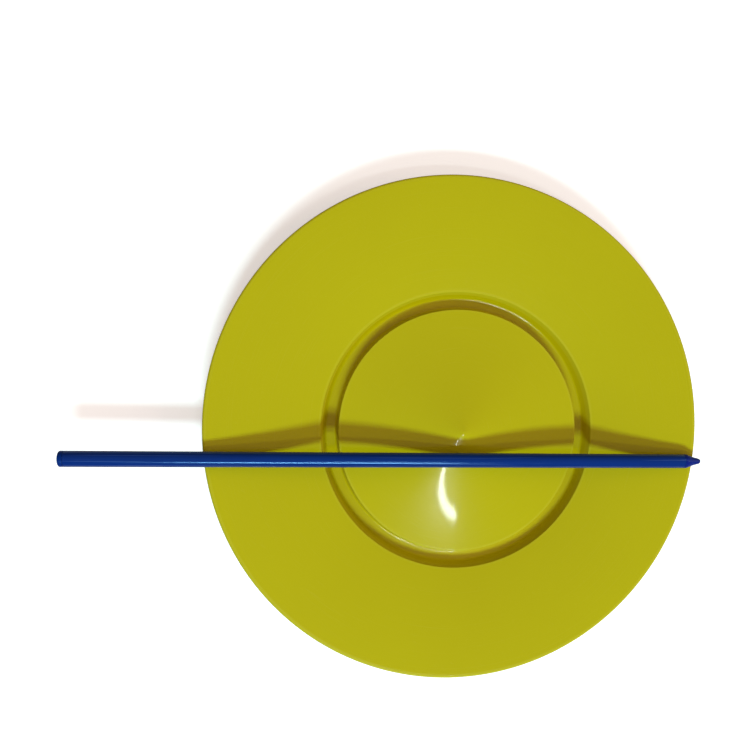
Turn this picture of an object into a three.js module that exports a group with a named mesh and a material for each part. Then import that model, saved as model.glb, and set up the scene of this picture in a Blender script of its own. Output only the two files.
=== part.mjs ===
// Circus spinning plate with its pointed stick lying across the rim.
// Millimetres, +Z up. The origin is the plate's axis at the plane its foot ring stands on.
// The stick lies along +X, pointed end at the +X side, a little to the -Y side of the plate's axis.

import * as THREE from 'three';

// ---- plate: radii and heights above the standing plane --------------------------------------

const plateDiameter = 240;
const plateHeight = 17.5;
const wall = 2;
const rimBeadRadius = 1.2;
const rimSlope = 0.145; // rise per millimetre where the dish meets the rim
const beadFlankWidth = 1.6; // from under the bead in to where the dish has its full wall below

const grooveOuterRadius = 67.5;
const grooveWidth = 8.4;
const lipHeight = 8.05; // top of both groove edges
const grooveFloorHeight = 2.05;
const grooveInnerDraft = 0.8; // how far the groove's inner side leans out from edge to floor
const grooveOuterDraft = 2.4; // how far its outer side leans in
const lipRounding = 0.3;
const floorRounding = 1.1;
const footRounding = 0.9;

const apexHeight = 16.2;
const apexSlope = 0.235; // fall per millimetre beside the apex
const apexCapRadius = 1.2;

const socketRadius = 3.4; // hollow under the apex that the stick's point turns in
const socketDepth = 2.7;
const socketPadRadius = 7.5;
const socketPadDrop = 1.6; // how far the pad stands below the cone's lower face
const socketPadFlank = 1.2;

// ---- stick ----------------------------------------------------------------------------------

const stickLength = 299.4;
const stickDiameter = 7;
const stickWall = 1;
const tipLength = 8.1; // from the point back to the full diameter
const tipCollar = 1.5; // full-diameter band of the tip piece, outside the tube
const nibLength = 4.5;
const nibDiameter = 4.4;
const nibPointRadius = 1.4;
const spigotLength = 14; // part of the tip piece inside the tube
const capLength = 2.2; // end cap outside the tube
const capRounding = 0.7;
const capSpigotLength = 8;
const plugClearance = 0.1; // round each spigot, and between each shoulder and the tube's end

const stickOffset = 12.6; // from the plate's axis, towards -Y
const tipOverhang = 2.3; // how far the point stands out past the rim
const restGap = 0.05; // between the stick and what it rests on

// ---- fineness of the round shapes -----------------------------------------------------------

const plateSegments = 72;
const stickSegments = 24;
const dishSteps = 6;
const coneSteps = 6;

// ---- materials ------------------------------------------------------------------------------

const yellowPlastic = new THREE.MeshStandardMaterial({ color: 0xb5ac0a, roughness: 0.25, metalness: 0 });
const bluePlastic = new THREE.MeshStandardMaterial({ color: 0x0f3282, roughness: 0.3, metalness: 0 });
const tipPlastic = new THREE.MeshStandardMaterial({ color: 0x2b3f96, roughness: 0.4, metalness: 0 });
const capPlastic = new THREE.MeshStandardMaterial({ color: 0x10307a, roughness: 0.4, metalness: 0 });

// ---- sizes that follow ----------------------------------------------------------------------

const plateRadius = plateDiameter / 2;
const grooveInnerRadius = grooveOuterRadius - grooveWidth;
const beadCentre = new THREE.Vector2(plateRadius - rimBeadRadius, plateHeight - rimBeadRadius);
const stickRadius = stickDiameter / 2;
const boreRadius = stickRadius - stickWall;
const spigotRadius = boreRadius - plugClearance;

// Height of the dish's upper face: a parabola from the outer groove edge to the top of the bead.
function dishHeight(radius) {
  const span = beadCentre.x - grooveOuterRadius;
  const inward = beadCentre.x - radius;
  const bend = (plateHeight - lipHeight - rimSlope * span) / span ** 2;
  return plateHeight - rimSlope * inward - bend * inward ** 2;
}

// Height of the cone's upper face: steepest at the apex, easing towards the inner groove edge.
function coneHeight(radius) {
  const fall = apexHeight - lipHeight;
  const ease = (apexSlope * grooveInnerRadius - fall) / grooveInnerRadius ** 2;
  return apexHeight - apexSlope * radius + ease * radius ** 2;
}

// Points of a height formula between two radii, both ends included.
function along(height, from, to, steps, drop = 0) {
  const points = [];
  for (let i = 0; i <= steps; i += 1) {
    const radius = from + ((to - from) * i) / steps;
    points.push(new THREE.Vector2(radius, height(radius) - drop));
  }
  return points;
}

// Points of a circular arc about a centre, angles in degrees, both ends included.
function arc(centreX, centreY, radius, fromDegrees, toDegrees, steps) {
  const points = [];
  for (let i = 0; i <= steps; i += 1) {
    const angle = THREE.MathUtils.degToRad(fromDegrees + ((toDegrees - fromDegrees) * i) / steps);
    points.push(new THREE.Vector2(centreX + radius * Math.cos(angle), centreY + radius * Math.sin(angle)));
  }
  return points;
}

// A corner replaced by a curve that leaves and meets the two sides at the given distance.
function roundedCorner(before, corner, after, distance, steps) {
  const start = corner.clone().add(before.clone().sub(corner).setLength(distance));
  const end = corner.clone().add(after.clone().sub(corner).setLength(distance));
  return new THREE.QuadraticBezierCurve(start, corner, end).getPoints(steps);
}

// ---- plate ----------------------------------------------------------------------------------

// The two upper edges and two floor corners of the groove, from the inside outwards.
function grooveCorners() {
  return [
    new THREE.Vector2(grooveInnerRadius, lipHeight),
    new THREE.Vector2(grooveInnerRadius + grooveInnerDraft, grooveFloorHeight),
    new THREE.Vector2(grooveOuterRadius - grooveOuterDraft, grooveFloorHeight),
    new THREE.Vector2(grooveOuterRadius, lipHeight),
  ];
}

// The upper face, from the apex out to where the dish meets the rim bead.
function plateTop() {
  const [innerEdge, innerFloor, outerFloor, outerEdge] = grooveCorners();
  const capTop = new THREE.Vector2(0, (apexHeight + coneHeight(apexCapRadius)) / 2);
  const cone = along(coneHeight, apexCapRadius, grooveInnerRadius - lipRounding, coneSteps);
  const dish = along(dishHeight, grooveOuterRadius + lipRounding, beadCentre.x, dishSteps);
  return [
    capTop,
    ...cone,
    ...roundedCorner(cone.at(-1), innerEdge, innerFloor, lipRounding, 2).slice(1),
    ...roundedCorner(innerEdge, innerFloor, outerFloor, floorRounding, 2),
    ...roundedCorner(innerFloor, outerFloor, outerEdge, floorRounding, 2),
    ...roundedCorner(outerFloor, outerEdge, dish[0], lipRounding, 2).slice(0, -1),
    ...dish,
  ];
}

// The lower face, from the bead in to the pad and socket on the axis.
function plateBottom() {
  const footOuter = new THREE.Vector2(grooveOuterRadius - grooveOuterDraft + wall, 0);
  const footInner = new THREE.Vector2(grooveInnerRadius + grooveInnerDraft - wall, 0);
  const outerRoot = grooveOuterRadius + wall;
  const innerRoot = grooveInnerRadius - wall;
  const dish = along(dishHeight, beadCentre.x - beadFlankWidth, outerRoot, dishSteps, wall);
  const cone = along(coneHeight, innerRoot, socketPadRadius + socketPadFlank, coneSteps, wall);
  const padHeight = coneHeight(socketPadRadius) - wall - socketPadDrop;
  return [
    ...dish,
    ...roundedCorner(dish.at(-1), footOuter, footInner, footRounding, 2),
    ...roundedCorner(footOuter, footInner, cone[0], footRounding, 2),
    ...cone,
    new THREE.Vector2(socketPadRadius, padHeight),
    ...socketDome(padHeight),
  ];
}

// The socket's flattened dome, from its mouth in the pad's face up to the axis.
function socketDome(mouthHeight) {
  const flattening = socketDepth / socketRadius;
  return arc(0, 0, socketRadius, 0, 90, 4).map(
    (p) => new THREE.Vector2(p.x, mouthHeight + p.y * flattening),
  );
}

function makePlate() {
  const beadAbove = arc(beadCentre.x, beadCentre.y, rimBeadRadius, 90, 0, 3).slice(1);
  const beadBelow = arc(beadCentre.x, beadCentre.y, rimBeadRadius, 0, -90, 3).slice(1);
  const profile = [...plateTop(), ...beadAbove, ...beadBelow, ...plateBottom()].reverse();
  const geometry = new THREE.LatheGeometry(profile, plateSegments);
  const plate = new THREE.Mesh(geometry, yellowPlastic);
  plate.name = 'plate';
  plate.rotation.x = Math.PI / 2;
  return plate;
}

// ---- stick: every piece is turned about the stick's own +X, with the point at x = 0 -----------

// A turned piece of the stick from (x, radius) pairs, listed from its -X end.
function turned(name, outline, material) {
  const points = outline.map(([x, radius]) => new THREE.Vector2(radius, x));
  const geometry = new THREE.LatheGeometry(points, stickSegments);
  const piece = new THREE.Mesh(geometry, material);
  piece.name = name;
  piece.rotation.z = -Math.PI / 2;
  return piece;
}

const tubeFront = -(tipLength + tipCollar);
const tubeBack = capLength - stickLength;

function makeTube() {
  return turned('stick_tube', [
    [tubeBack, boreRadius],
    [tubeBack, stickRadius],
    [tubeFront, stickRadius],
    [tubeFront, boreRadius],
    [tubeBack, boreRadius],
  ], bluePlastic);
}

function makeTip() {
  const collarBack = tubeFront + plugClearance;
  const nibRadius = nibDiameter / 2;
  const point = arc(-nibPointRadius, 0, nibPointRadius, 75, 0, 4).map((p) => [p.x, p.y]);
  return turned('stick_tip', [
    [collarBack - spigotLength, 0],
    [collarBack - spigotLength, spigotRadius],
    [collarBack, spigotRadius],
    [collarBack, stickRadius],
    [-tipLength, stickRadius],
    [-nibLength, nibRadius],
    ...point,
  ], tipPlastic);
}

function makeEndCap() {
  const shoulder = tubeBack - plugClearance;
  const edge = arc(-stickLength + capRounding, stickRadius - capRounding, capRounding, 180, 90, 3);
  return turned('stick_end_cap', [
    [-stickLength, 0],
    ...edge.map((p) => [p.x, p.y]),
    [shoulder, stickRadius],
    [shoulder, spigotRadius],
    [shoulder + capSpigotLength, spigotRadius],
    [shoulder + capSpigotLength, 0],
  ], capPlastic);
}

// The stick rests on the rim bead at its -X side, and its full diameter ends against the dish at
// its +X side, just inside the rim, so it leans down by a fraction of a degree towards the point.
function placeStick(stick) {
  const halfChord = Math.sqrt(plateRadius ** 2 - stickOffset ** 2);
  const pointX = halfChord + tipOverhang;
  const shoulderX = pointX - tipLength;
  const shoulderHeight = dishHeight(Math.hypot(shoulderX, stickOffset));
  const beadX = -Math.sqrt(beadCentre.x ** 2 - stickOffset ** 2);
  const tilt = Math.atan2(plateHeight - shoulderHeight, shoulderX - beadX);
  const lift = (stickRadius + restGap) / Math.cos(tilt);
  stick.rotation.y = tilt;
  stick.position.set(pointX, -stickOffset, shoulderHeight + lift - tipLength * Math.sin(tilt));
  return stick;
}

// ---- the assembled set ------------------------------------------------------------------------

const stick = new THREE.Group();
stick.add(makeTube(), makeTip(), makeEndCap());

const spinningPlateSet = new THREE.Group();
spinningPlateSet.add(makePlate(), placeStick(stick));

export default spinningPlateSet;
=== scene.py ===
import math

import bmesh
import bpy
from mathutils import Matrix, Quaternion, Vector


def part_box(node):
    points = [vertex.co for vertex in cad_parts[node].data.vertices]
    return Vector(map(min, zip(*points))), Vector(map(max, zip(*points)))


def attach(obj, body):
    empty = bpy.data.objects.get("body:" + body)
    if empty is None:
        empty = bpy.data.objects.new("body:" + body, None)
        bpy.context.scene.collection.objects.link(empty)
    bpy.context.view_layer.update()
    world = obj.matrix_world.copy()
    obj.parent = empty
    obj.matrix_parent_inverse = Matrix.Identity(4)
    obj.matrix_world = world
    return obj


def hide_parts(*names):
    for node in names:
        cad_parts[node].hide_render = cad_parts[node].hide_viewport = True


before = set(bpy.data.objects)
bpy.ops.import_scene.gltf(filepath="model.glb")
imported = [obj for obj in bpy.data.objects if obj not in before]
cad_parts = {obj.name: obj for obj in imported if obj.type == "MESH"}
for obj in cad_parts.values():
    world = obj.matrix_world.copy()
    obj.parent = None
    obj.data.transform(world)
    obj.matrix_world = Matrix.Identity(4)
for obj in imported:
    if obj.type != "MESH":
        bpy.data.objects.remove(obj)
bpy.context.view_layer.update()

# A circus spinning plate with its pointed stick lying across the rim. Metres, +Z up. The plate stands
# on its foot ring, centred on the Z axis, and the stick lies along +X with its point at the +X side.
MM = 0.001
FULL_TURN = 2 * math.pi
UP = Vector((0, 0, 1))
ALONG = Vector((1, 0, 0))

# ---- sizes taken from the frame ---------------------------------------------------------------

_, plate_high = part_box("plate")
PLATE_RADIUS = plate_high.x
PLATE_HEIGHT = plate_high.z
RIM_CENTRE = Vector((0, 0, PLATE_HEIGHT))

tube_low, tube_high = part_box("stick_tube")
STICK_MIDDLE = (tube_low + tube_high) / 2
STICK_RADIUS = (tube_high.y - tube_low.y) / 2
STICK_LEAN = math.atan2(tube_high.z - tube_low.z - 2 * STICK_RADIUS, tube_high.x - tube_low.x)
TUBE_REACH = tube_high.x - tube_low.x - 2 * STICK_RADIUS * math.sin(STICK_LEAN)
TUBE_LENGTH = TUBE_REACH / math.cos(STICK_LEAN)

# ---- the plate's section ----------------------------------------------------------------------

WALL = 2 * MM
BEAD_RADIUS = 1.2 * MM
BEAD_CENTRE_RADIUS = PLATE_RADIUS - BEAD_RADIUS
BEAD_FLANK = 1.6 * MM
RIM_SLOPE = 0.145
GROOVE_OUTER = 67.5 * MM
GROOVE_INNER = 59.1 * MM
GROOVE_INNER_DRAFT = 0.8 * MM
GROOVE_OUTER_DRAFT = 2.4 * MM
GROOVE_FLOOR = 2.05 * MM
LIP_HEIGHT = 8.05 * MM
APEX_HEIGHT = 16.2 * MM
APEX_SLOPE = 0.235
APEX_CAP_RADIUS = 1.2 * MM
SOCKET_RADIUS = 3.4 * MM
SOCKET_DEPTH = 2.7 * MM
SOCKET_PAD_RADIUS = 7.5 * MM
SOCKET_PAD_DROP = 1.6 * MM
SOCKET_PAD_FLANK = 1.2 * MM

LIP_ROUNDING = 0.25 * MM
FLOOR_ROUNDING = 1.1 * MM
FOOT_ROUNDING = 0.9 * MM
SOCKET_PAD_ROUNDING = 0.5 * MM
SOCKET_LIP_ROUNDING = 0.25 * MM
BEAD_ROUNDING = 0.999 * BEAD_RADIUS  # leaves a sliver of flat between the bead's two quarter rounds
CORNER_ROOM = 1.3 * MM  # kept free of stations on each side of a rounded corner
SOCKET_WALL_START = 0.96 * SOCKET_RADIUS  # the dome's first station inside its rounded mouth
ROUNDING_SEGMENTS = 6
APEX_STEPS = 6
SOCKET_STEPS = 10
CURVE_STEPS = 44
PLATE_STEPS = 256
MERGE_DISTANCE = 0.002 * MM

# ---- the stick's section ----------------------------------------------------------------------

TUBE_END = TUBE_LENGTH / 2
TUBE_WALL = 1 * MM
TIP_LENGTH = 8.1 * MM
TIP_COLLAR = 1.5 * MM
NIB_LENGTH = 4.5 * MM
NIB_RADIUS = 2.2 * MM
NIB_POINT = 1.4 * MM
TIP_SPIGOT = 14 * MM
CAP_LENGTH = 2.2 * MM
CAP_SPIGOT = 8 * MM
PLUG_CLEARANCE = 0.1 * MM
SPIGOT_RADIUS = STICK_RADIUS - TUBE_WALL - PLUG_CLEARANCE
TUBE_EASING = 0.12 * MM
SHOULDER_ROUNDING = 0.6 * MM
SPIGOT_ROUNDING = 0.3 * MM
CAP_ROUNDING = 0.7 * MM
NIB_BALL_ANGLE = math.radians(75)  # from the point back to where the nib's round end begins
NIB_BALL_STEPS = 8
GATE_MARK_RADIUS = 1 * MM
GATE_MARK_FLOOR = 0.7 * GATE_MARK_RADIUS
GATE_MARK_DEPTH = 0.3 * MM
GATE_MARK_FLOOR_ROUNDING = 0.2 * MM
GATE_MARK_EDGE_ROUNDING = 0.15 * MM
TUBE_RINGS = 40
STICK_STEPS = 96

# ---- camera -----------------------------------------------------------------------------------

CAMERA_PLACE = RIM_CENTRE + Vector((-76.15, 23.12, 323.71)) * MM
CAMERA_AIM = RIM_CENTRE + Vector((-15.86, -1.89, 0)) * MM
CAMERA_ROLL = math.radians(1.4)
CAMERA_LENS = 33.6  # lens and sensor in millimetres
CAMERA_SENSOR = 36
CAMERA_SHIFT = (-0.0756, 0.0825)


def add_camera():
    """Looks down into the dish, from a little towards the blunt end of the stick."""
    data = bpy.data.cameras.new("camera")
    data.lens = CAMERA_LENS
    data.sensor_width = CAMERA_SENSOR
    data.shift_x, data.shift_y = CAMERA_SHIFT
    data.clip_start = 10 * MM
    camera = bpy.data.objects.new("camera", data)
    bpy.context.scene.collection.objects.link(camera)
    back = (CAMERA_PLACE - CAMERA_AIM).normalized()
    right = Vector((0, 1, 0)).cross(back).normalized()
    level = Matrix((right, back.cross(right), back)).transposed().to_4x4()
    roll = Matrix.Rotation(CAMERA_ROLL, 4, "Z")
    camera.matrix_world = Matrix.Translation(CAMERA_PLACE) @ level @ roll
    bpy.context.scene.camera = camera


add_camera()


# ---- shapes: a half outline, its corners rounded, spun about an axis ---------------------------


def along(height, start, end, steps, drop=0):
    """Stations of a height formula between two radii, both ends included."""
    radii = [start + (end - start) * i / steps for i in range(steps + 1)]
    return [(radius, height(radius) - drop, 0) for radius in radii]


def turned(outline, axis, steps, segments):
    """A bmesh spun from (distance from the axis, place along it, corner rounding) stations."""
    shape = bmesh.new()
    sideways = ALONG if axis == UP else UP
    verts = [shape.verts.new(sideways * away + axis * place) for away, place, _ in outline]
    for first, second in zip(verts, verts[1:]):
        shape.edges.new((first, second))
    for vert, (_, _, rounding) in zip(verts, outline):
        if rounding:
            bmesh.ops.bevel(
                shape, geom=[vert], offset=rounding, segments=segments,
                profile=0.5, affect="VERTICES", material=-1,
            )
    bmesh.ops.spin(
        shape, geom=shape.verts[:] + shape.edges[:], cent=(0, 0, 0), axis=axis,
        angle=FULL_TURN, steps=steps, use_merge=True,
    )
    bmesh.ops.remove_doubles(shape, verts=shape.verts[:], dist=MERGE_DISTANCE)
    bmesh.ops.recalc_face_normals(shape, faces=shape.faces[:])
    return shape


def finished(name, shape, material):
    """A shown object from a bmesh that is already in its place."""
    for face in shape.faces:
        face.smooth = True
    mesh = bpy.data.meshes.new(name)
    shape.to_mesh(mesh)
    shape.free()
    mesh.materials.append(material)
    piece = bpy.data.objects.new(name, mesh)
    bpy.context.scene.collection.objects.link(piece)
    return piece


# ---- plate ------------------------------------------------------------------------------------


def dish_height(radius):
    """The dish's upper face: a parabola from the groove's outer edge to the top of the rim bead."""
    span = BEAD_CENTRE_RADIUS - GROOVE_OUTER
    inward = BEAD_CENTRE_RADIUS - radius
    bend = (PLATE_HEIGHT - LIP_HEIGHT - RIM_SLOPE * span) / span**2
    return PLATE_HEIGHT - RIM_SLOPE * inward - bend * inward**2


def cone_height(radius):
    """The cone's upper face: steepest beside the apex, easing towards the groove, with a round top."""
    fall = APEX_HEIGHT - LIP_HEIGHT
    ease = (APEX_SLOPE * GROOVE_INNER - fall) / GROOVE_INNER**2
    if radius < APEX_CAP_RADIUS:
        sag = APEX_SLOPE / (2 * APEX_CAP_RADIUS)
        return cone_height(APEX_CAP_RADIUS) + sag * (APEX_CAP_RADIUS**2 - radius**2)
    return APEX_HEIGHT - APEX_SLOPE * radius + ease * radius**2


def plate_outline():
    """The section of the moulding, from the apex over the rim and back under to the socket."""
    bead_bottom = PLATE_HEIGHT - 2 * BEAD_RADIUS
    outer_root = GROOVE_OUTER + WALL
    inner_root = GROOVE_INNER - WALL
    pad_height = cone_height(SOCKET_PAD_RADIUS) - WALL - SOCKET_PAD_DROP
    lower_dish_end = outer_root + CORNER_ROOM
    lower_cone_start = inner_root - CORNER_ROOM

    def socket_height(radius):
        return pad_height + SOCKET_DEPTH * math.sqrt(1 - (radius / SOCKET_RADIUS) ** 2)

    return [
        *along(cone_height, 0, APEX_CAP_RADIUS, APEX_STEPS),
        *along(cone_height, APEX_CAP_RADIUS, GROOVE_INNER - CORNER_ROOM, CURVE_STEPS)[1:],
        (GROOVE_INNER, LIP_HEIGHT, LIP_ROUNDING),
        (GROOVE_INNER + GROOVE_INNER_DRAFT, GROOVE_FLOOR, FLOOR_ROUNDING),
        (GROOVE_OUTER - GROOVE_OUTER_DRAFT, GROOVE_FLOOR, FLOOR_ROUNDING),
        (GROOVE_OUTER, LIP_HEIGHT, LIP_ROUNDING),
        *along(dish_height, GROOVE_OUTER + CORNER_ROOM, BEAD_CENTRE_RADIUS, CURVE_STEPS),
        (PLATE_RADIUS, PLATE_HEIGHT, BEAD_ROUNDING),
        (PLATE_RADIUS, bead_bottom, BEAD_ROUNDING),
        (BEAD_CENTRE_RADIUS, bead_bottom, 0),
        *along(dish_height, BEAD_CENTRE_RADIUS - BEAD_FLANK, lower_dish_end, CURVE_STEPS, WALL),
        (outer_root, dish_height(outer_root) - WALL, LIP_ROUNDING),
        (GROOVE_OUTER - GROOVE_OUTER_DRAFT + WALL, 0, FOOT_ROUNDING),
        (GROOVE_INNER + GROOVE_INNER_DRAFT - WALL, 0, FOOT_ROUNDING),
        (inner_root, cone_height(inner_root) - WALL, LIP_ROUNDING),
        *along(cone_height, lower_cone_start, SOCKET_PAD_RADIUS + SOCKET_PAD_FLANK, CURVE_STEPS, WALL),
        (SOCKET_PAD_RADIUS, pad_height, SOCKET_PAD_ROUNDING),
        (SOCKET_RADIUS, pad_height, SOCKET_LIP_ROUNDING),
        *along(socket_height, SOCKET_WALL_START, 0, SOCKET_STEPS),
    ]


def plate_moulding(material):
    """The whole plate, spun from its section."""
    shape = turned(plate_outline(), UP, PLATE_STEPS, ROUNDING_SEGMENTS)
    return finished("plate_moulding", shape, material)


# ---- stick: outlines are (radius, place along the stick) from the tube's middle ----------------


def laid_down(shape):
    """Puts a piece turned about +X where the stick lies."""
    lean = Matrix.Rotation(STICK_LEAN, 4, "Y")
    bmesh.ops.transform(shape, matrix=Matrix.Translation(STICK_MIDDLE) @ lean, verts=shape.verts)
    return shape


def stick_shaft(material):
    """The tube, with rings along it that keep its faces short."""
    bore = STICK_RADIUS - TUBE_WALL
    rings = [TUBE_END * (2 * i / TUBE_RINGS - 1) for i in range(1, TUBE_RINGS)]
    outline = [
        (bore, 0, 0),
        (bore, -TUBE_END, TUBE_EASING),
        (STICK_RADIUS, -TUBE_END, TUBE_EASING),
        *[(STICK_RADIUS, ring, 0) for ring in rings],
        (STICK_RADIUS, TUBE_END, TUBE_EASING),
        (bore, TUBE_END, TUBE_EASING),
        (bore, 0, 0),
    ]
    shape = turned(outline, ALONG, STICK_STEPS, ROUNDING_SEGMENTS)
    return finished("stick_shaft", laid_down(shape), material)


def stick_point(material):
    """The plug with the point: spigot, full-diameter collar, cone and blunt nib."""
    collar_back = TUBE_END + PLUG_CLEARANCE
    shoulder = TUBE_END + TIP_COLLAR
    end = shoulder + TIP_LENGTH
    ball_centre = end - NIB_POINT
    angles = [NIB_BALL_ANGLE * (1 - i / NIB_BALL_STEPS) for i in range(NIB_BALL_STEPS + 1)]
    ball = [(NIB_POINT * math.sin(a), ball_centre + NIB_POINT * math.cos(a), 0) for a in angles]
    outline = [
        (0, collar_back - TIP_SPIGOT, 0),
        (SPIGOT_RADIUS, collar_back - TIP_SPIGOT, SPIGOT_ROUNDING),
        (SPIGOT_RADIUS, collar_back, 0),
        (STICK_RADIUS, collar_back, TUBE_EASING),
        (STICK_RADIUS, shoulder, SHOULDER_ROUNDING),
        (NIB_RADIUS, end - NIB_LENGTH, SHOULDER_ROUNDING),
        *ball,
    ]
    shape = turned(outline, ALONG, STICK_STEPS, ROUNDING_SEGMENTS)
    return finished("stick_point", laid_down(shape), material)


def stick_cap(material):
    """The plug in the blunt end, with the small dished mark where it was moulded."""
    shoulder = -TUBE_END - PLUG_CLEARANCE
    end = -TUBE_END - CAP_LENGTH
    outline = [
        (0, end + GATE_MARK_DEPTH, 0),
        (GATE_MARK_FLOOR, end + GATE_MARK_DEPTH, GATE_MARK_FLOOR_ROUNDING),
        (GATE_MARK_RADIUS, end, GATE_MARK_EDGE_ROUNDING),
        (STICK_RADIUS, end, CAP_ROUNDING),
        (STICK_RADIUS, shoulder, TUBE_EASING),
        (SPIGOT_RADIUS, shoulder, 0),
        (SPIGOT_RADIUS, shoulder + CAP_SPIGOT, SPIGOT_ROUNDING),
        (0, shoulder + CAP_SPIGOT, 0),
    ]
    shape = turned(outline, ALONG, STICK_STEPS, ROUNDING_SEGMENTS)
    return finished("stick_cap", laid_down(shape), material)


# ---- helpers for shader nodes -----------------------------------------------------------------


def put(tree, kind, sockets=None, **settings):
    """Adds a node, sets its own properties, and links or sets its input sockets by name or number."""
    node = tree.nodes.new("ShaderNode" + kind)
    for name, value in settings.items():
        setattr(node, name, value)
    for name, value in (sockets or {}).items():
        if isinstance(value, bpy.types.NodeSocket):
            tree.links.new(value, node.inputs[name])
        else:
            node.inputs[name].default_value = value
    return node


def maths(tree, operation, *values):
    return put(tree, "Math", dict(enumerate(values)), operation=operation).outputs[0]


def span(tree, value, low, high, to_low=0.0, to_high=1.0):
    """A value rescaled from one range to another, and held inside it."""
    sockets = {"Value": value, "From Min": low, "From Max": high, "To Min": to_low, "To Max": to_high}
    return put(tree, "MapRange", sockets).outputs[0]


def blend(tree, share, first, second):
    """The first colour where the share is nought, the second where it is one."""
    # a Mix node's colours are its inputs 6 and 7, and its output 2
    return put(tree, "Mix", {"Factor": share, 6: first, 7: second}, data_type="RGBA").outputs[2]


def raised(tree, value, mask, amount):
    """A value with an amount added to it where the mask is one."""
    return maths(tree, "ADD", value, maths(tree, "MULTIPLY", mask, amount))


# ---- node groups ------------------------------------------------------------------------------


def new_group(name, inputs, outputs):
    """An empty node group; inputs are (name, kind, value), outputs are (name, kind)."""
    group = bpy.data.node_groups.new(name, "ShaderNodeTree")
    for label, kind, value in inputs:
        socket = group.interface.new_socket(label, in_out="INPUT", socket_type="NodeSocket" + kind)
        if value is not None:
            socket.default_value = value
    for label, kind in outputs:
        group.interface.new_socket(label, in_out="OUTPUT", socket_type="NodeSocket" + kind)
    return group, group.nodes.new("NodeGroupInput").outputs, group.nodes.new("NodeGroupOutput").inputs


def use_group(tree, group, **sockets):
    node = tree.nodes.new("ShaderNodeGroup")
    node.node_tree = group
    for label, value in sockets.items():
        socket = node.inputs[label.replace("_", " ")]
        if isinstance(value, bpy.types.NodeSocket):
            tree.links.new(value, socket)
        else:
            socket.default_value = value
    return node.outputs


SPECK_RATE = 2600.0  # features per metre
PEEL_RATE = 420.0
CLOUD_RANGE = (0.35, 0.65)  # noise levels between which pigment clouds and specks fade in
SPECK_RANGE = (0.55, 0.75)
CLOUDY_ROUGHNESS = 0.05
HAIRLINE_LEVEL = 0.8  # the noise hardly ever climbs past this, so a share of nought draws no lines
HAIRLINE_EDGE = 0.03


def make_moulded_skin():
    """Pigment that is never quite even, and the faint orange peel of a moulded gloss surface."""
    group, given, result = new_group(
        "moulded_skin",
        [("Vector", "Vector", None), ("Colour", "Color", None), ("Deep Colour", "Color", None),
         ("Patch Size", "Float", 0.03), ("Unevenness", "Float", 0.5)],
        [("Colour", "Color"), ("Roughness Shift", "Float"), ("Height", "Float")],
    )
    rate = maths(group, "DIVIDE", 1.0, given["Patch Size"])
    patches = put(group, "TexNoise", {"Vector": given["Vector"], "Scale": rate, "Detail": 3.0})
    specks = put(group, "TexNoise", {"Vector": given["Vector"], "Scale": SPECK_RATE, "Detail": 1.0})
    peel = put(group, "TexNoise", {"Vector": given["Vector"], "Scale": PEEL_RATE, "Detail": 1.0})
    clouds = span(group, patches.outputs[0], *CLOUD_RANGE)
    grains = span(group, specks.outputs[0], *SPECK_RANGE)
    uneven = maths(group, "MULTIPLY", maths(group, "ADD", clouds, grains), given["Unevenness"])
    group.links.new(blend(group, uneven, given["Colour"], given["Deep Colour"]), result["Colour"])
    group.links.new(maths(group, "MULTIPLY", clouds, CLOUDY_ROUGHNESS), result["Roughness Shift"])
    group.links.new(peel.outputs[0], result["Height"])
    return group


def make_hairlines():
    """Sparse fine scratches that run along the X of the given coordinates."""
    group, given, result = new_group(
        "hairlines",
        [("Vector", "Vector", None), ("Length", "Float", 0.02), ("Width", "Float", 0.0004),
         ("Share", "Float", 0.1)],
        [("Mask", "Float")],
    )
    long_rate = maths(group, "DIVIDE", 1.0, given["Length"])
    cross_rate = maths(group, "DIVIDE", 1.0, given["Width"])
    rates = put(group, "CombineXYZ", {"X": long_rate, "Y": cross_rate, "Z": cross_rate})
    stretched = put(
        group, "VectorMath", {0: given["Vector"], 1: rates.outputs[0]}, operation="MULTIPLY"
    )
    lines = put(group, "TexNoise", {"Vector": stretched.outputs[0], "Scale": 1.0, "Detail": 0.0})
    threshold = maths(group, "SUBTRACT", HAIRLINE_LEVEL, given["Share"])
    above = maths(group, "SUBTRACT", lines.outputs[0], threshold)
    group.links.new(span(group, above, 0.0, HAIRLINE_EDGE), result["Mask"])
    return group


moulded_skin = make_moulded_skin()
hairlines = make_hairlines()


# ---- materials --------------------------------------------------------------------------------

YELLOW = (0.463, 0.413, 0.002, 1)
DEEP_YELLOW = (0.440, 0.385, 0.001, 1)
SCUFF_YELLOW = (0.49, 0.44, 0.015, 1)
# painted shade: a darker, more orange yellow standing in for the shade that falls inside the groove
GROOVE_PAINTED_SHADE = (0.455, 0.372, 0.001, 1)
PLATE_SHINE = 0.12
PLATE_ROUGHNESS = 0.16
POLISH = 0.25
POLISH_ROUGHNESS = 0.05
GROOVE_MIDDLE = (GROOVE_INNER + GROOVE_OUTER) / 2
GROOVE_HALF = (GROOVE_OUTER - GROOVE_INNER) / 2
# where the groove's painted shade fades in, from just outside its lips to just inside them
GROOVE_SHADE_START = GROOVE_HALF + 0.2 * MM
GROOVE_SHADE_FULL = GROOVE_HALF - 0.4 * MM
LIP_WEAR_START = 1.2 * MM
LIP_WEAR_FULL = 0.6 * MM
RIM_WEAR_START = PLATE_RADIUS - 2.2 * MM
RIM_WEAR_FULL = PLATE_RADIUS - BEAD_RADIUS
FOOT_WEAR_START = 0.5 * MM
FOOT_WEAR_FULL = 0.05 * MM
RUBBED_PALENESS = 0.35
RUBBED_ROUGHNESS = 0.4
SPUN_LINE_RADIUS = 60 * MM  # turns an angle into a length for the lines that run round the plate
CROSSING_ANGLE = math.radians(38)
PLATE_LINE_ROUGHNESS = 0.12
PLATE_LINE_DEPTH = 0.5  # as a share of the bump's own height

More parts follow.
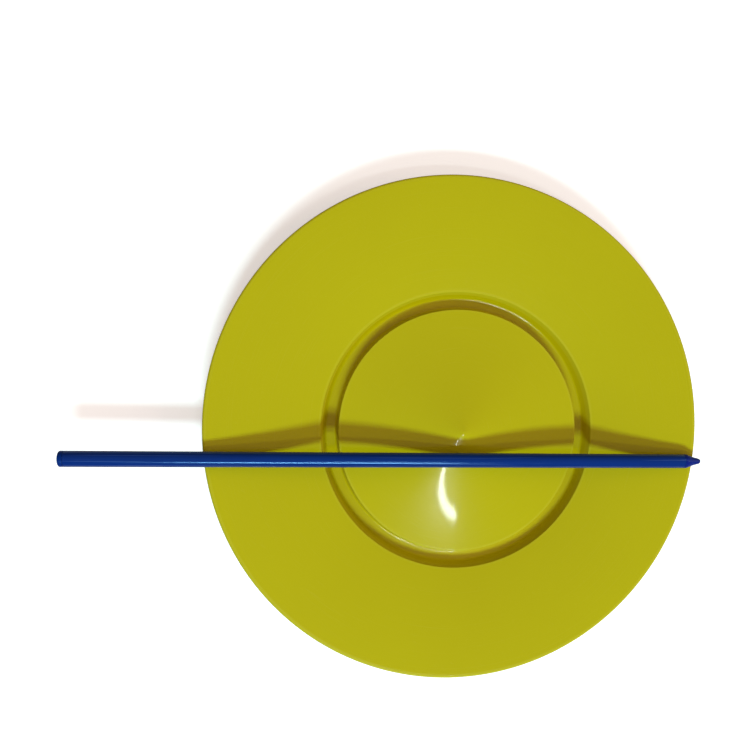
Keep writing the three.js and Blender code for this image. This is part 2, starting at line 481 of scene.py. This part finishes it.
BLUE = (0.0003, 0.022, 0.180, 1)
DEEP_BLUE = (0.0002, 0.016, 0.150, 1)
TIP_BLUE = (0.004, 0.015, 0.190, 1)
DEEP_TIP_BLUE = (0.003, 0.011, 0.160, 1)
SCUFF_BLUE = (0.06, 0.11, 0.36, 1)
BLUE_SHEEN = (0.30, 0.62, 1.0, 1)
STICK_LINE_PALENESS = 0.25
STICK_LINE_ROUGHNESS = 0.15
STICK_LINE_DEPTH = 0.7


def new_material(name):
    """A material with a Principled shader, and its Object coordinates."""
    material = bpy.data.materials.new(name)
    material.use_nodes = True
    tree = material.node_tree
    shader = tree.nodes["Principled BSDF"]
    place = put(tree, "TexCoord").outputs["Object"]
    return material, tree, shader, place


def tie(tree, shader, colour, roughness, height, *, strength, distance):
    """Links the last colour, roughness and height into the shader."""
    bump = put(tree, "Bump", {"Height": height, "Strength": strength, "Distance": distance})
    tree.links.new(colour, shader.inputs["Base Color"])
    tree.links.new(roughness, shader.inputs["Roughness"])
    tree.links.new(bump.outputs[0], shader.inputs["Normal"])


def yellow_gloss():
    """The plate: even gloss with painted shade in the groove, hairlines from stacking and spinning,
    lips, rim and foot rubbed dull.
    """
    material, tree, shader, place = new_material("yellow_gloss_plastic")
    shader.inputs["Specular IOR Level"].default_value = PLATE_SHINE
    shader.inputs["Coat Roughness"].default_value = POLISH_ROUGHNESS
    skin = use_group(
        tree, moulded_skin, Vector=place, Colour=YELLOW, Deep_Colour=DEEP_YELLOW,
        Patch_Size=45 * MM, Unevenness=0.3,
    )
    axes = put(tree, "SeparateXYZ", {0: place}).outputs
    flat = put(tree, "CombineXYZ", {"X": axes["X"], "Y": axes["Y"]}).outputs[0]
    away = put(tree, "VectorMath", {0: flat}, operation="LENGTH").outputs["Value"]

    angle = maths(tree, "ARCTAN2", axes["Y"], axes["X"])
    turn = maths(tree, "MULTIPLY", angle, SPUN_LINE_RADIUS)
    round_place = put(tree, "CombineXYZ", {"X": turn, "Y": away, "Z": axes["Z"]}).outputs[0]
    spun_lines = use_group(
        tree, hairlines, Vector=round_place, Length=30 * MM, Width=0.3 * MM, Share=0.08
    )
    slanted = put(tree, "Mapping", {"Vector": place, "Rotation": (0, 0, CROSSING_ANGLE)}).outputs[0]
    crossing_lines = use_group(
        tree, hairlines, Vector=slanted, Length=18 * MM, Width=0.3 * MM, Share=0.07
    )
    lines = maths(tree, "MAXIMUM", spun_lines["Mask"], crossing_lines["Mask"])

    from_groove = maths(tree, "ABSOLUTE", maths(tree, "SUBTRACT", away, GROOVE_MIDDLE))
    from_lips = maths(tree, "ABSOLUTE", maths(tree, "SUBTRACT", from_groove, GROOVE_HALF))
    painted_groove_shade = span(tree, from_groove, GROOVE_SHADE_START, GROOVE_SHADE_FULL)
    lip_wear = span(tree, from_lips, LIP_WEAR_START, LIP_WEAR_FULL)
    rim_wear = span(tree, away, RIM_WEAR_START, RIM_WEAR_FULL)
    foot_wear = span(tree, axes["Z"], FOOT_WEAR_START, FOOT_WEAR_FULL)
    rubbed = maths(tree, "MAXIMUM", maths(tree, "MAXIMUM", rim_wear, foot_wear), lip_wear)

    tree.links.new(span(tree, rubbed, 0.0, 1.0, POLISH, 0.0), shader.inputs["Coat Weight"])
    # paints the groove's shade into the colour: darker, more orange yellow inside the groove
    colour = blend(tree, painted_groove_shade, skin["Colour"], GROOVE_PAINTED_SHADE)
    colour = blend(tree, maths(tree, "MULTIPLY", rubbed, RUBBED_PALENESS), colour, SCUFF_YELLOW)
    roughness = maths(tree, "ADD", skin["Roughness Shift"], PLATE_ROUGHNESS)
    roughness = raised(tree, roughness, lines, PLATE_LINE_ROUGHNESS)
    roughness = raised(tree, roughness, rubbed, RUBBED_ROUGHNESS)
    height = raised(tree, skin["Height"], lines, -PLATE_LINE_DEPTH)
    tie(tree, shader, colour, roughness, height, strength=0.05, distance=0.02 * MM)
    return material


def blue_gloss(name, colour, deep_colour, *, unevenness, line_share, base_roughness, shine):
    """The stick: drawn or moulded blue plastic, its marks running along the stick."""
    material, tree, shader, place = new_material(name)
    shader.inputs["Specular IOR Level"].default_value = shine
    shader.inputs["Specular Tint"].default_value = BLUE_SHEEN
    skin = use_group(
        tree, moulded_skin, Vector=place, Colour=colour, Deep_Colour=deep_colour,
        Patch_Size=20 * MM, Unevenness=unevenness,
    )
    marks = use_group(
        tree, hairlines, Vector=place, Length=60 * MM, Width=0.5 * MM, Share=line_share
    )
    lines = marks["Mask"]
    tint = blend(tree, maths(tree, "MULTIPLY", lines, STICK_LINE_PALENESS), skin["Colour"], SCUFF_BLUE)
    roughness = maths(tree, "ADD", skin["Roughness Shift"], base_roughness)
    roughness = raised(tree, roughness, lines, STICK_LINE_ROUGHNESS)
    height = raised(tree, skin["Height"], lines, -STICK_LINE_DEPTH)
    tie(tree, shader, tint, roughness, height, strength=0.08, distance=0.03 * MM)
    return material


def tube_plastic():
    return blue_gloss(
        "drawn_blue_plastic", BLUE, DEEP_BLUE,
        unevenness=0.35, line_share=0.12, base_roughness=0.14, shine=0.42,
    )


def point_plastic():
    return blue_gloss(
        "point_blue_plastic", TIP_BLUE, DEEP_TIP_BLUE,
        unevenness=0.5, line_share=0.14, base_roughness=0.3, shine=0.12,
    )


def cap_plastic():
    return blue_gloss(
        "cap_blue_plastic", BLUE, DEEP_BLUE,
        unevenness=0.5, line_share=0.1, base_roughness=0.3, shine=0.2,
    )


# ---- floor and lights -------------------------------------------------------------------------

FLOOR_SHADE = (0.93, 0.93, 0.93, 1)
FLOOR_BOUNCE = (0.5, 0.5, 0.5, 1)
FLOOR_GLOW = 0.45
FLOOR_ROUGHNESS = 0.85
FLOOR_GRAIN_ROUGHNESS = 0.05
FLOOR_GRAIN_RATE = 300.0
FLOOR_HALF = 4
KEY_DIRECTION = Vector((-0.01, -0.68, 0.73))
KEY_DISTANCE = 1.6
KEY_SIZE = (0.7, 0.22)
KEY_POWER = 23
KEY_COLOUR = (0.64, 0.91, 0.95)
FILL_DIRECTION = Vector((0.85, 0.15, 0.5))
FILL_DISTANCE = 1.8
FILL_SIZE = (0.9, 0.9)
FILL_POWER = 8
FILL_COLOUR = (1.0, 0.78, 0.68)
STREAK_DIRECTION = Vector((0.103, -0.4145, 0.904))
STREAK_DISTANCE = 1.5
STREAK_SIZE = (0.325, 0.023)
STREAK_ROLL = math.radians(-5.8)
STREAK_POWER = 2.2
STREAK_COLOUR = (0.9, 1.0, 1.0)
SKY_TOP = (0.53, 0.40, 0.33, 1)
SKY_EDGE = (0.10, 0.075, 0.07, 1)
BACKDROP = (0.86, 0.87, 0.88, 1)


def pale_paper():
    """The floor: glows a little to the eye, so it looks white, but throws back less light."""
    material, tree, shader, place = new_material("pale_floor")
    shader.inputs["Emission Color"].default_value = (1, 1, 1, 1)
    seen = put(tree, "LightPath").outputs["Is Camera Ray"]
    tree.links.new(maths(tree, "MULTIPLY", seen, FLOOR_GLOW), shader.inputs["Emission Strength"])
    grain = put(tree, "TexNoise", {"Vector": place, "Scale": FLOOR_GRAIN_RATE, "Detail": 2.0}).outputs[0]
    shade = blend(tree, seen, FLOOR_BOUNCE, FLOOR_SHADE)
    roughness = raised(tree, FLOOR_ROUGHNESS, grain, FLOOR_GRAIN_ROUGHNESS)
    tie(tree, shader, shade, roughness, grain, strength=0.02, distance=MM)
    return material


def add_floor():
    shape = bmesh.new()
    bmesh.ops.create_grid(shape, x_segments=2, y_segments=2, size=FLOOR_HALF)
    finished("floor", shape, pale_paper())


def add_lamp(name, direction, distance, size, power, colour, roll=0):
    """A rectangular soft box facing the plate, its long side level unless it is rolled."""
    data = bpy.data.lights.new(name, "AREA")
    data.shape = "RECTANGLE"
    data.size, data.size_y = size
    data.energy = power
    data.color = colour
    lamp = bpy.data.objects.new(name, data)
    lamp.location = RIM_CENTRE + direction.normalized() * distance
    facing = direction.to_track_quat("Z", "Y") @ Quaternion(UP, roll)
    lamp.rotation_euler = facing.to_euler()
    bpy.context.scene.collection.objects.link(lamp)


def add_lights():
    """Two soft boxes, a narrow one for the bright streak on the cone, and a dim warm sky."""
    add_lamp("key", KEY_DIRECTION, KEY_DISTANCE, KEY_SIZE, KEY_POWER, KEY_COLOUR)
    add_lamp("fill", FILL_DIRECTION, FILL_DISTANCE, FILL_SIZE, FILL_POWER, FILL_COLOUR)
    add_lamp(
        "streak", STREAK_DIRECTION, STREAK_DISTANCE, STREAK_SIZE, STREAK_POWER, STREAK_COLOUR,
        STREAK_ROLL,
    )
    world = bpy.data.worlds.new("studio")
    world.use_nodes = True
    sky = world.node_tree
    rise = put(sky, "SeparateXYZ", {0: put(sky, "TexCoord").outputs["Generated"]}).outputs["Z"]
    glow = blend(sky, rise, SKY_EDGE, SKY_TOP)
    seen = put(sky, "LightPath").outputs["Is Camera Ray"]
    sky.links.new(blend(sky, seen, glow, BACKDROP), sky.nodes["Background"].inputs["Color"])
    bpy.context.scene.world = world
    bpy.context.scene.view_settings.view_transform = "Standard"


# ---- the set ----------------------------------------------------------------------------------


def shown(piece, body, node):
    """A piece that moves with a body and stands for a node, whose frame part is hidden."""
    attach(piece, body)
    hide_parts(node)


add_floor()
add_lights()

shown(plate_moulding(yellow_gloss()), "plate", "plate")
shown(stick_shaft(tube_plastic()), "stick", "stick_tube")
shown(stick_point(point_plastic()), "stick", "stick_tip")
shown(stick_cap(cap_plastic()), "stick", "stick_end_cap")
